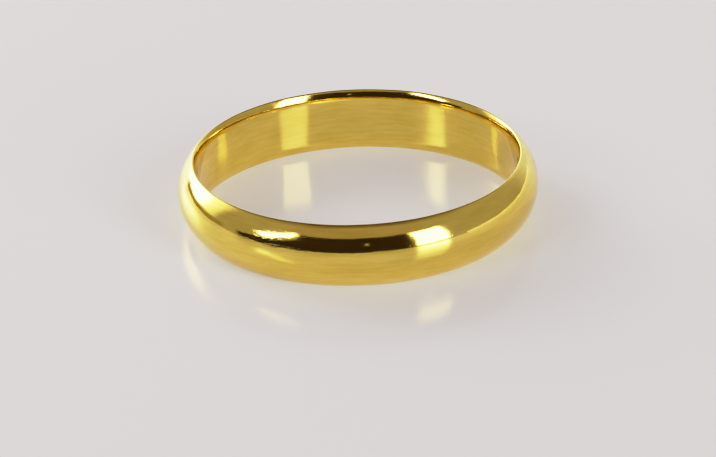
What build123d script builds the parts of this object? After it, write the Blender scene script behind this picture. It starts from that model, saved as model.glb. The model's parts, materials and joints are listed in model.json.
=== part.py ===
from build123d import *

import math
import os

# A plain D-section wedding band: a strip of gold bent into a ring, its two ends butted together
# and soldered. The ring's axis is Z, the origin is the centre of the finger hole, and the soldered
# joint faces +X. All sizes are in millimetres, all angles in degrees.

# ---- driving dimensions ----
bore_diameter = 19.76  # ring size 10 (US), 62 (ISO), measured across the finger hole
band_width = 4.0  # along Z, from rim to rim
crown_thickness = 1.25  # from the finger hole out to the crown of the dome
easing_radius = 1.1  # the finger hole opens gently towards each rim, for comfort
easing_turn = 34.0  # how far the wall has turned outwards where that easing ends
edge_radius = 0.10  # the tight rounding of each rim, from the easing over to the dome
solder_thickness = 0.10  # the gap between the strip's two ends, filled with solder

# ---- worked out from them ----
bore_radius = bore_diameter / 2
easing_sine = math.sin(math.radians(easing_turn))
easing_cosine = math.cos(math.radians(easing_turn))

# Centre of a rim's edge rounding, as a distance from the ring's axis and from the band's middle.
edge_centre_radius = bore_radius + easing_radius * (1 - easing_cosine) + edge_radius * easing_cosine
edge_centre_height = band_width / 2 - edge_radius
wall_length = 2 * (edge_centre_height - (easing_radius - edge_radius) * easing_sine)

# The dome is one arc that meets both edge roundings smoothly.
below_crown = bore_radius + crown_thickness - edge_centre_radius
dome_radius = (below_crown**2 + edge_centre_height**2 - edge_radius**2) / (
    2 * (below_crown - edge_radius)
)
dome_half_angle = math.degrees(math.atan2(edge_centre_height, dome_radius - below_crown))
edge_turn = 180 - easing_turn - dome_half_angle

# The joint is a straight saw cut through the ring on its +X side.
cut_centre = bore_radius + crown_thickness / 2
cut_length = 2 * crown_thickness
cut_height = 2 * band_width

# ---- the section that both pieces share: straight towards the finger, domed outside ----
with BuildSketch(Plane.XZ) as section:
    with BuildLine():
        wall = Line((bore_radius, -wall_length / 2), (bore_radius, wall_length / 2))
        top_easing = JernArc(wall @ 1, wall % 1, easing_radius, -easing_turn)
        top_edge = JernArc(top_easing @ 1, top_easing % 1, edge_radius, -edge_turn)
        dome = JernArc(top_edge @ 1, top_edge % 1, dome_radius, -2 * dome_half_angle)
        foot_edge = JernArc(dome @ 1, dome % 1, edge_radius, -edge_turn)
        JernArc(foot_edge @ 1, foot_edge % 1, easing_radius, -easing_turn)
    make_face()

# ---- band: the bent strip, a ring with a narrow gap on its +X side ----
with BuildPart() as band:
    add(section.sketch)
    revolve(axis=Axis.Z)
    with Locations((cut_centre, 0, 0)):
        Box(cut_length, solder_thickness, cut_height, mode=Mode.SUBTRACT)

# ---- solder seam: the thin wafer of solder in that gap, flush with the band all round ----
with BuildPart() as solder_seam:
    add(section.sketch)
    revolve(axis=Axis.Z)
    with Locations((cut_centre, 0, 0)):
        Box(cut_length, solder_thickness, cut_height, mode=Mode.INTERSECT)

# ---- one STEP file for each piece ----
os.makedirs("parts", exist_ok=True)

band.part.label = "band"
export_step(band.part, "parts/band.step")

solder_seam.part.label = "solder_seam"
export_step(solder_seam.part, "parts/solder_seam.step")
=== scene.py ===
import json
import math

import bpy
from mathutils import Matrix, Vector, noise


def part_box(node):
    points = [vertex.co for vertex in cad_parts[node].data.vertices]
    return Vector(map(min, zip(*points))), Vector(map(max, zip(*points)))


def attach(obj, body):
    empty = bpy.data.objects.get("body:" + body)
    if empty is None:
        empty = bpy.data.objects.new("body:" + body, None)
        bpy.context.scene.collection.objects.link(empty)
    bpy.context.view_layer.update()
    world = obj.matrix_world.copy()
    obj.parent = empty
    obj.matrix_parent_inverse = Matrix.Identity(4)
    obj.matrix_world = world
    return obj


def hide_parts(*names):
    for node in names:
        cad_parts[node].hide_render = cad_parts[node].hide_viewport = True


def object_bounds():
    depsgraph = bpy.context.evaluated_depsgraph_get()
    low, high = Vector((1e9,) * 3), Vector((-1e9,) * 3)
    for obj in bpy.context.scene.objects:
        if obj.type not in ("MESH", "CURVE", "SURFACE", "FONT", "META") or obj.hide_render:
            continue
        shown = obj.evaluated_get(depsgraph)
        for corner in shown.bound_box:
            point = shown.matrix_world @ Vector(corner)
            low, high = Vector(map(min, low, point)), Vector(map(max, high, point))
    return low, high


# The looks of a plain D-section wedding band: polished 18 ct gold with one soldered butt joint.
# Lengths are in metres, angles in degrees unless a name says otherwise. The ring's axis is Z,
# the solder seam faces +X and the main view looks along +Y.

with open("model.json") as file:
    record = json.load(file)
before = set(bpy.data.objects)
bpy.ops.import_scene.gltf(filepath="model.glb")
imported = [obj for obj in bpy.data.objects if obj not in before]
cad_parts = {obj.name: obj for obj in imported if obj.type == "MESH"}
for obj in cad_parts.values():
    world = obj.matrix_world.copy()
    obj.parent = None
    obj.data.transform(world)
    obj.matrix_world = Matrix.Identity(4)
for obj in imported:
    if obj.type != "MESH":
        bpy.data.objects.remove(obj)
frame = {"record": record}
cad_low, cad_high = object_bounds()

MM = 0.001

# ---- the ring's dimensions, from the frame ----
bore_dims = frame["record"]["mounts"][0]["dims"]
band_low, band_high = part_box("band")
seam_low, seam_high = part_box("solder_seam")
bore_radius = bore_dims["r_mm"] * MM
half_wall = bore_dims["length_mm"] * MM / 2
half_width = (band_high.z - band_low.z) / 2
outer_radius = -band_low.x
half_gap = (seam_high.y - seam_low.y) / 2
floor_height = band_low.z

# The finger hole opens gently towards each rim, and a tight rounding turns from there into the dome.
EASING_TURN = math.radians(34)
EDGE_RADIUS = 0.10 * MM
edge_centre_height = half_width - EDGE_RADIUS
easing_radius = (edge_centre_height - half_wall) / math.sin(EASING_TURN) + EDGE_RADIUS
edge_centre_radius = (
    bore_radius + easing_radius * (1 - math.cos(EASING_TURN)) + EDGE_RADIUS * math.cos(EASING_TURN)
)
below_crown = outer_radius - edge_centre_radius
dome_radius = (below_crown**2 + edge_centre_height**2 - EDGE_RADIUS**2) / (
    2 * (below_crown - EDGE_RADIUS)
)
dome_half_angle = math.atan2(edge_centre_height, dome_radius - below_crown)

# ---- how finely the surfaces are cut ----
ROWS_WALL = 10
ROWS_EASING = 10
ROWS_EDGE = 8
ROWS_DOME = 42
STEPS_ROUND = 1080
STEPS_SEAM = 4

# ---- brightness that shows as full white, where the floor in full light is about 0.7 ----
WHITE_LEVEL = 5.0

# ---- surface unevenness left by bending, filing and polishing ----
RIPPLE_LONG = 2.2 * MM  # size of the slow waves
RIPPLE_LONG_HEIGHT = 0.013 * MM
RIPPLE_SHORT = 0.45 * MM
RIPPLE_SHORT_HEIGHT = 0.0007 * MM
SLOPE_STEP = 0.02 * MM  # how far apart two heights are taken to find the slope
SEAM_SINK = 0.004 * MM  # polishing takes a little more off the solder, which is softer

# ---- fine marks in the polish, drawn by the material ----
HAIRLINE_HEIGHT = 0.00022 * MM
HAIRLINE_DULLS = 0.05  # roughness that the deepest hairlines add
STREAK_HEIGHT = 0.0030 * MM
NICK_DEPTH = 0.0004 * MM
PIT_DEPTH = 0.001 * MM  # gas pits in the solder
GLOSS_DRIFT = 0.05
RIM_DULLS = 0.08
SCUFF_HEIGHT = 0.0026 * MM

# ---- places on the UV layer, in millimetres: u round the band from +X, v along the section ----
EDGE_TURN = math.pi - EASING_TURN - dome_half_angle
CROWN_V = (2 * half_wall + easing_radius * EASING_TURN + EDGE_RADIUS * EDGE_TURN) / MM
CROWN_V += dome_radius * dome_half_angle / MM
RIM_TO_CROWN = (dome_radius * dome_half_angle + EDGE_RADIUS * EDGE_TURN / 2) / MM
SCUFF_U = 44.0
SCUFF_V = 4.7
SCUFF_LENGTH = 3.6
SCUFF_WIDTH = 1.0

# ---- the floor ----
FLOOR_SIZE = 1.5
# painted glow: the floor gives off light of its own, which fills in the shade beside and under the ring
FLOOR_PAINTED_GLOW = 0.31  # brightness that the floor gives off by itself


def arc(centre_radius, centre_height, size, start, end, steps):
    """Points of an arc of the section, after its start, as (radius, height, normal angle in radians)."""
    rows = []
    for i in range(1, steps + 1):
        angle = start + (end - start) * i / steps
        radius = centre_radius + size * math.cos(angle)
        rows.append((radius, centre_height + size * math.sin(angle), angle))
    return rows


def section():
    """The closed outline of the section as (radius, height, normal angle), from the foot of the wall.

    The normal angle is in radians from straight outwards, towards +Z. The outline runs up the wall,
    over the top rim, down the dome and back under the foot rim."""
    rows = []
    for i in range(ROWS_WALL + 1):
        rows.append((bore_radius, half_wall * (2 * i / ROWS_WALL - 1), math.pi))
    easing_centre = bore_radius + easing_radius
    edge_start = math.pi - EASING_TURN
    edge_end = dome_half_angle
    edge = (edge_centre_radius, edge_centre_height, EDGE_RADIUS)
    foot_edge = (edge_centre_radius, -edge_centre_height, EDGE_RADIUS)
    rows += arc(easing_centre, half_wall, easing_radius, math.pi, edge_start, ROWS_EASING)
    rows += arc(*edge, edge_start, edge_end, ROWS_EDGE)
    rows += arc(outer_radius - dome_radius, 0, dome_radius, edge_end, -edge_end, ROWS_DOME)
    rows += arc(*foot_edge, -edge_end, -edge_start, ROWS_EDGE)
    rows += arc(easing_centre, -half_wall, easing_radius, -edge_start, -math.pi, ROWS_EASING)[:-1]
    return rows


def ripple(angle, radius, height):
    """How far the surface stands above or below its true place, a few thousandths of a millimetre."""
    at = Vector((math.cos(angle) * radius, math.sin(angle) * radius, height))
    slow = noise.noise(at / RIPPLE_LONG) * RIPPLE_LONG_HEIGHT
    quick = noise.noise(at / RIPPLE_SHORT + Vector((7.0, 3.0, 5.0))) * RIPPLE_SHORT_HEIGHT
    return slow + quick


def closed_sweep(name, columns, section_rows):
    """A closed solid from columns of section points, capped at both ends.

    Each column is a list of (point, normal)."""
    count = len(section_rows)
    points = []
    normals = []
    for column in columns:
        for point, normal in column:
            points.append(point)
            normals.append(normal)
    faces = []
    for c in range(len(columns) - 1):
        for r in range(count):
            after = (r + 1) % count
            faces.append((c * count + r, c * count + after, (c + 1) * count + after, (c + 1) * count + r))
    smooth_faces = len(faces)
    first_cap = list(reversed(range(count)))
    last_cap = [(len(columns) - 1) * count + r for r in range(count)]
    faces.append(first_cap)
    faces.append(last_cap)
    mesh = bpy.data.meshes.new(name)
    mesh.from_pydata(points, [], faces)
    uv = mesh.uv_layers.new(name="band")
    # u runs round the band and v along the section, both in millimetres
    section_length = [0.0]
    for r in range(count):
        a = section_rows[r]
        b = section_rows[(r + 1) % count]
        section_length.append(section_length[-1] + math.hypot(a[0] - b[0], a[1] - b[1]))
    mean_radius = (bore_radius + outer_radius) / 2
    for polygon in mesh.polygons:
        polygon.use_smooth = polygon.index < smooth_faces
        for corner, loop in enumerate(polygon.loop_indices):
            vertex = mesh.loops[loop].vertex_index
            column, row = divmod(vertex, count)
            place = points[vertex]
            turn = math.atan2(place[1], place[0]) % (2 * math.pi)
            if column < len(columns) / 2 and turn > math.pi:
                turn -= 2 * math.pi
            # the last strip of faces closes the outline, so it ends at the full length, not at 0
            wraps = polygon.index < smooth_faces and corner in (1, 2) and row == 0
            uv.data[loop].uv = (turn * mean_radius / MM, section_length[count if wraps else row] / MM)
    corner_normals = []
    for polygon in mesh.polygons:
        flat = polygon.normal.copy()
        for loop in polygon.loop_indices:
            corner_normals.append(normals[mesh.loops[loop].vertex_index] if polygon.use_smooth else flat)
    mesh.normals_split_custom_set(corner_normals)
    mesh.update()
    piece = bpy.data.objects.new(name, mesh)
    bpy.context.scene.collection.objects.link(piece)
    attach(piece, "root")
    return piece


def make_band():
    """The bent strip: a ring open at +X by the width of the seam."""
    rows = section()
    step = SLOPE_STEP
    columns = []
    for i in range(STEPS_ROUND + 1):
        column = []
        for radius, height, lean in rows:
            start = math.asin(half_gap / radius)
            angle = start + (2 * math.pi - 2 * start) * i / STEPS_ROUND
            here = ripple(angle, radius, height)
            out = Vector((math.cos(angle), math.sin(angle), 0))
            along = Vector((-math.sin(angle), math.cos(angle), 0))
            up = Vector((0, 0, 1))
            normal = out * math.cos(lean) + up * math.sin(lean)
            across = out * -math.sin(lean) + up * math.cos(lean)
            slope_along = (ripple(angle + step / radius, radius, height) - here) / step
            slope_across = (
                ripple(angle, radius + across.dot(out) * step, height + across.z * step) - here
            ) / step
            tilted = (normal - along * slope_along - across * slope_across).normalized()
            place = out * radius + up * height + normal * here
            column.append((place, tilted))
        columns.append(column)
    band = closed_sweep("band_polished", columns, rows)
    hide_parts("band")
    return band


def make_seam():
    """The wafer of solder between the strip's flat ends, with the same section."""
    rows = section()
    columns = []
    for i in range(STEPS_SEAM + 1):
        y = half_gap * (2 * i / STEPS_SEAM - 1)
        column = []
        for radius, height, lean in rows:
            angle = math.asin(y / radius)
            out = Vector((math.cos(angle), math.sin(angle), 0))
            normal = out * math.cos(lean) + Vector((0, 0, 1)) * math.sin(lean)
            column.append((out * radius + Vector((0, 0, height)) - normal * SEAM_SINK, normal))
        columns.append(column)
    seam = closed_sweep("solder_seam_polished", columns, rows)
    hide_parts("solder_seam")
    return seam


# ---- node trees ----
# A Mix node has one set of sockets for each type of value: these are its colours.
MIX_COLOUR_A = 6
MIX_COLOUR_B = 7
MIX_COLOUR_OUT = 2


class NodeTree:
    """Short calls for building a tree of shader nodes."""

    def __init__(self, tree):
        self.tree = tree

    def new(self, kind, **settings):
        node = self.tree.nodes.new(kind)
        for key, value in settings.items():
            setattr(node, key, value)
        return node

    def link(self, source, target):
        self.tree.links.new(source, target)

    def math(self, operation, a, b=0):
        node = self.new("ShaderNodeMath", operation=operation)
        for socket, value in zip(node.inputs, (a, b)):
            if isinstance(value, (int, float)):
                socket.default_value = value
            else:
                self.link(value, socket)
        return node.outputs[0]

    def mixed(self, factor, first, second):
        """The first colour where factor is 0, the second where it is 1."""
        node = self.new("ShaderNodeMix", data_type="RGBA")
        self.link(factor, node.inputs["Factor"])
        for place, colour in ((MIX_COLOUR_A, first), (MIX_COLOUR_B, second)):
            if isinstance(colour, tuple):
                node.inputs[place].default_value = (*colour, 1)
            else:
                self.link(colour, node.inputs[place])
        return node.outputs[MIX_COLOUR_OUT]


# ---- materials ----
class Surface(NodeTree):
    """Patterns and bumps for a metal's node tree."""

    def noise(self, place, detail, roughness=0.5):
        """Noise whose size is set by the scale of place."""
        node = self.new("ShaderNodeTexNoise")
        self.link(place, node.inputs["Vector"])
        node.inputs["Scale"].default_value = 1.0
        node.inputs["Detail"].default_value = detail
        node.inputs["Roughness"].default_value = roughness
        return node.outputs["Fac"]

    def stretched(self, place, scale, shift=(0, 0, 0)):
        """place times scale, plus shift. A small scale makes a pattern long in that direction."""
        node = self.new("ShaderNodeMapping")
        self.link(place, node.inputs["Vector"])
        node.inputs["Scale"].default_value = scale
        node.inputs["Location"].default_value = shift
        return node.outputs["Vector"]

    def between(self, value, low, high, to_low, to_high):
        """value from low to high, stretched to run from to_low to to_high."""
        node = self.new("ShaderNodeMapRange")
        self.link(value, node.inputs["Value"])
        ends = {"From Min": low, "From Max": high, "To Min": to_low, "To Max": to_high}
        for name, number in ends.items():
            node.inputs[name].default_value = number
        return node.outputs["Result"]

    def length(self, vector):
        node = self.new("ShaderNodeVectorMath", operation="LENGTH")
        self.link(vector, node.inputs[0])
        return node.outputs["Value"]

    def height_on_dome(self, place):
        """Distance along the section from the crown of the dome, in millimetres, the same to both sides."""
        parts = self.new("ShaderNodeSeparateXYZ")
        self.link(place, parts.inputs[0])
        return self.math("ABSOLUTE", self.math("SUBTRACT", parts.outputs["Y"], CROWN_V))

    def bump(self, height, distance, below=None):
        """distance is the height in metres that 1 stands for."""
        node = self.new("ShaderNodeBump")
        node.inputs["Strength"].default_value = 1.0
        node.inputs["Distance"].default_value = distance
        self.link(height, node.inputs["Height"])
        if below is not None:
            self.link(below, node.inputs["Normal"])
        return node.outputs["Normal"]


def polished_gold(name, deep, pale, gloss, pit_depth=0.0):
    """High-polish gold: streaks of colour, cloudy gloss, hairlines round the band, scuffs and worn rims.

    deep and pale are the two ends of the colour's drift, gloss is the lowest roughness."""
    material = bpy.data.materials.new(name)
    material.use_nodes = True
    n = Surface(material.node_tree)
    shader = n.tree.nodes["Principled BSDF"]
    shader.inputs["Metallic"].default_value = 1.0
    place = n.new("ShaderNodeUVMap", uv_map="band").outputs["UV"]

    # fine lines that polishing leaves, nearly all of them round the band
    hairlines = n.noise(n.stretched(place, (0.22, 26, 1)), 5.0, 0.65)
    streaks = n.noise(n.stretched(place, (0.5, 5, 1)), 4.0, 0.6)
    clouds = n.noise(n.stretched(place, (0.35, 0.9, 1)), 4.0)

    # wear: a few short scratches across the band, and both rims rubbed paler and duller
    across = n.noise(n.stretched(place, (22, 1.1, 1)), 3.0, 0.7)
    nicks = n.between(across, 0.66, 0.74, 0, 1)
    speckle = n.noise(n.stretched(place, (2.5, 6, 1)), 4.0, 0.7)
    from_rim = n.math("ABSOLUTE", n.math("SUBTRACT", n.height_on_dome(place), RIM_TO_CROWN))
    rim_wear = n.math("MULTIPLY", n.between(from_rim, 0.05, 0.4, 1, 0), n.between(speckle, 0.4, 0.6, 0, 1))

    # a patch of scuffs on the upper dome, at the left of the front
    scuffs = n.between(n.noise(n.stretched(place, (1.3, 4.5, 1)), 3.0, 0.6), 0.42, 0.6, 0, 1)
    from_patch = n.stretched(
        place, (1 / SCUFF_LENGTH, 1 / SCUFF_WIDTH, 1), (-SCUFF_U / SCUFF_LENGTH, -SCUFF_V / SCUFF_WIDTH, 0)
    )
    scuffed = n.between(n.length(from_patch), 0.3, 1, 1, 0)

    drift = n.math("ADD", n.between(clouds, 0.35, 0.65, 0, 0.5), n.between(streaks, 0.35, 0.65, 0, 0.5))
    drift = n.math("ADD", drift, n.math("MULTIPLY", rim_wear, 0.5))
    n.link(n.mixed(drift, deep, pale), shader.inputs["Base Color"])

    worn = n.noise(n.stretched(place, (0.8, 1.6, 1)), 5.0)
    dull = n.between(worn, 0.35, 0.75, gloss, gloss + GLOSS_DRIFT)
    dull = n.math("ADD", dull, n.between(hairlines, 0.5, 0.75, 0, HAIRLINE_DULLS))
    dull = n.math("ADD", dull, n.math("MULTIPLY", rim_wear, RIM_DULLS))
    n.link(dull, shader.inputs["Roughness"])

    normal = n.bump(hairlines, HAIRLINE_HEIGHT)
    normal = n.bump(streaks, STREAK_HEIGHT, normal)
    normal = n.bump(nicks, -NICK_DEPTH, normal)
    normal = n.bump(n.math("MULTIPLY", scuffs, scuffed), SCUFF_HEIGHT, normal)
    if pit_depth:
        pits = n.noise(n.stretched(place, (30, 12, 1)), 2.0)
        normal = n.bump(n.between(pits, 0.6, 0.7, 0, 1), -pit_depth, normal)
    n.link(normal, shader.inputs["Normal"])
    return material


def pale_floor():
    """A plain sheet under the foot rim."""
    mesh = bpy.data.meshes.new("floor")
    corners = []
    for x, y in ((-1, -1), (1, -1), (1, 1), (-1, 1)):
        corners.append((x * FLOOR_SIZE, y * FLOOR_SIZE, floor_height))
    mesh.from_pydata(corners, [], [(0, 1, 2, 3)])
    floor = bpy.data.objects.new("floor", mesh)
    bpy.context.scene.collection.objects.link(floor)
    material = bpy.data.materials.new("pale_floor")
    material.use_nodes = True
    shader = material.node_tree.nodes["Principled BSDF"]
    shader.inputs["Base Color"].default_value = (0.48, 0.472, 0.485, 1)
    shader.inputs["Roughness"].default_value = 0.16
    shader.inputs["IOR"].default_value = 1.21
    # painted glow, standing in for the light that milky acrylic scatters back out: the floor shines by
    # itself, so the shade close beside and under the ring stays light
    shader.inputs["Emission Color"].default_value = (1.0, 0.95, 0.94, 1)
    shader.inputs["Emission Strength"].default_value = FLOOR_PAINTED_GLOW
    mesh.materials.append(material)
    return floor


# ---- light: a world of soft boxes by direction ----
class Directions(NodeTree):
    """Soft-edged patches in the world shader, by azimuth from -Y towards +X and elevation, in degrees."""

    def __init__(self, tree):
        super().__init__(tree)
        self.direction = self.new("ShaderNodeTexCoord").outputs["Generated"]
        parts = self.new("ShaderNodeSeparateXYZ")
        self.link(self.direction, parts.inputs[0])
        flipped = self.math("MULTIPLY", parts.outputs["Y"], -1)
        turn = self.math("ARCTAN2", parts.outputs["X"], flipped)
        self.azimuth = self.math("MULTIPLY", turn, 180 / math.pi)
        self.elevation = self.math("MULTIPLY", self.math("ARCSINE", parts.outputs["Z"]), 180 / math.pi)

    def rise(self, value, at, soft):
        """0 below `at`, 1 above it, with a smooth edge `soft` degrees wide."""
        node = self.new("ShaderNodeMapRange", interpolation_type="SMOOTHSTEP")
        self.link(value, node.inputs["Value"])
        node.inputs["From Min"].default_value = at - soft / 2
        node.inputs["From Max"].default_value = at + soft / 2
        return node.outputs["Result"]

    def patch(self, centre, size, soft, turn=0.0):
        """1 inside a rectangle of directions, 0 outside. turn tips it, anticlockwise from the ring."""
        c, s = math.cos(math.radians(turn)), math.sin(math.radians(turn))
        from_az = self.wrapped(self.math("SUBTRACT", self.azimuth, centre[0]))
        from_el = self.math("SUBTRACT", self.elevation, centre[1])
        along = self.math("ADD", self.math("MULTIPLY", from_az, c), self.math("MULTIPLY", from_el, s))
        across = self.math("SUBTRACT", self.math("MULTIPLY", from_el, c), self.math("MULTIPLY", from_az, s))
        mask = None
        for value, length in ((along, size[0]), (across, size[1])):
            distance = self.math("ABSOLUTE", value)
            inside = self.math("SUBTRACT", 1, self.rise(distance, length / 2, soft))
            mask = inside if mask is None else self.math("MULTIPLY", mask, inside)
        return mask

    def wrapped(self, angle):
        """The same angle, brought back between -180 and 180."""
        node = self.new("ShaderNodeMath", operation="WRAP")
        self.link(angle, node.inputs[0])
        node.inputs[1].default_value = 180
        node.inputs[2].default_value = -180
        return node.outputs[0]

    def disc(self, centre, radius, soft):
        """1 inside a round patch of directions, 0 outside."""
        azimuth, elevation = (math.radians(v) for v in centre)
        towards = (
            math.sin(azimuth) * math.cos(elevation),
            -math.cos(azimuth) * math.cos(elevation),
            math.sin(elevation),
        )
        dot = self.new("ShaderNodeVectorMath", operation="DOT_PRODUCT")
        self.link(self.direction, dot.inputs[0])
        dot.inputs[1].default_value = towards
        away = self.math("MULTIPLY", self.math("ARCCOSINE", dot.outputs["Value"]), 180 / math.pi)
        return self.math("SUBTRACT", 1, self.rise(away, radius, soft))

    def over(self, below, colour, mask):
        """colour laid over what is below it, where mask is 1."""
        return self.mixed(mask, below, colour)


def studio():
    """The room round the ring. Later patches lie over earlier ones."""
    world = bpy.data.worlds.new("studio")
    bpy.context.scene.world = world
    world.use_nodes = True
    tree = world.node_tree
    d = Directions(tree)
    colour = (0.42, 0.36, 0.335)
    dark = (0.032, 0.018, 0.012)
    # the room in front, above the dark side, and the pale backdrop behind the ring
    colour = d.over(colour, (0.40, 0.32, 0.28), d.patch((-5, 50), (110, 60), 30))
    colour = d.over(colour, (0.80, 0.79, 0.83), d.patch((180, 22), (90, 70), 30))
    # the dark side of the room, behind the camera
    colour = d.over(colour, dark, d.patch((-5, 18), (76, 40), 4))
    colour = d.over(colour, dark, d.patch((-52, 9), (56, 18), 4, turn=18))
    # a small lamp far back in the dark side
    colour = d.over(colour, (0.8, 0.7, 0.6), d.patch((4, 21), (1.6, 5), 1.5))
    # the far edge of the table on the right, a lit line
    colour = d.over(colour, (1.6, 1.4, 1.2), d.patch((108, 1), (76, 1.6), 1.2))
    # two tall soft boxes left and right of the camera
    colour = d.over(colour, (9.0, 8.8, 8.7), d.patch((46, 20), (20, 34), 3))
    colour = d.over(colour, (13.0, 12.8, 12.6), d.patch((-56.5, 28), (27, 7.5), 5, turn=40))
    # the big window behind on the left, with its brightest part and a dark gap under it
    colour = d.over(colour, (3.8, 3.7, 3.6), d.patch((-140, 19), (54, 34), 28))
    colour = d.over(colour, (11.0, 10.8, 10.8), d.disc((-133, 16), 13, 12))
    colour = d.over(colour, (0.32, 0.25, 0.13), d.patch((-118, 3), (50, 9), 6))
    # the dim ceiling straight above
    colour = d.over(colour, (0.09, 0.05, 0.03), d.disc((180, 72), 40, 14))
    background = tree.nodes["Background"]
    d.link(colour, background.inputs["Color"])
    background.inputs["Strength"].default_value = 1.0
    return world


# ---- the main view ----
def camera():
    """A long lens, looking down at the ring along +Y, tipped a little."""
    elevation = math.radians(24.6)
    roll = math.radians(-2.15)
    distance = 27 * bore_radius
    data = bpy.data.cameras.new("camera")
    data.sensor_width = 36
    data.lens = 217.2
    data.clip_start = 0.01
    data.clip_end = 10
    cam = bpy.data.objects.new("camera", data)
    bpy.context.scene.collection.objects.link(cam)
    back = Vector((0, -math.cos(elevation), math.sin(elevation)))
    right = Vector((1, 0, 0))
    up = back.cross(right)
    rolled_right = right * math.cos(roll) + up * math.sin(roll)
    rolled_up = up * math.cos(roll) - right * math.sin(roll)
    # the ring sits a little above the middle of the frame
    aim_below = 0.276 * bore_radius
    centre = (cad_low + cad_high) / 2
    position = centre + back * distance
    aim = centre - rolled_up * aim_below
    look = (position - aim).normalized()
    x_axis = rolled_right
    y_axis = look.cross(x_axis)
    rotation = Matrix((x_axis, y_axis, look)).transposed()
    cam.matrix_world = Matrix.Translation(position) @ rotation.to_4x4()
    bpy.context.scene.camera = cam
    return cam


# ---- how bright light is shown ----
def camera_response():
    """Bright light rolls off gently, as it does in a camera, so gold highlights come out cream.

    The curve's points are (light, shown), both 1 for the white of a plain linear picture."""
    settings = bpy.context.scene.view_settings
    settings.view_transform = "Standard"
    settings.use_curve_mapping = True
    mapping = settings.curve_mapping
    mapping.white_level = (WHITE_LEVEL, WHITE_LEVEL, WHITE_LEVEL)
    curve = mapping.curves[3]
    for light, shown in ((0.35, 0.35), (0.7, 0.70), (1.1, 0.86), (2.0, 0.95)):
        curve.points.new(light / WHITE_LEVEL, shown)
    mapping.update()


camera()
camera_response()
studio()
pale_floor()

gold_band = polished_gold("gold_band", (0.80, 0.605, 0.095), (0.925, 0.735, 0.16), 0.045)
gold_solder = polished_gold("gold_solder", (0.82, 0.61, 0.16), (0.93, 0.71, 0.23), 0.08, PIT_DEPTH)
band = make_band()
band.data.materials.append(gold_band)
seam = make_seam()
seam.data.materials.append(gold_solder)
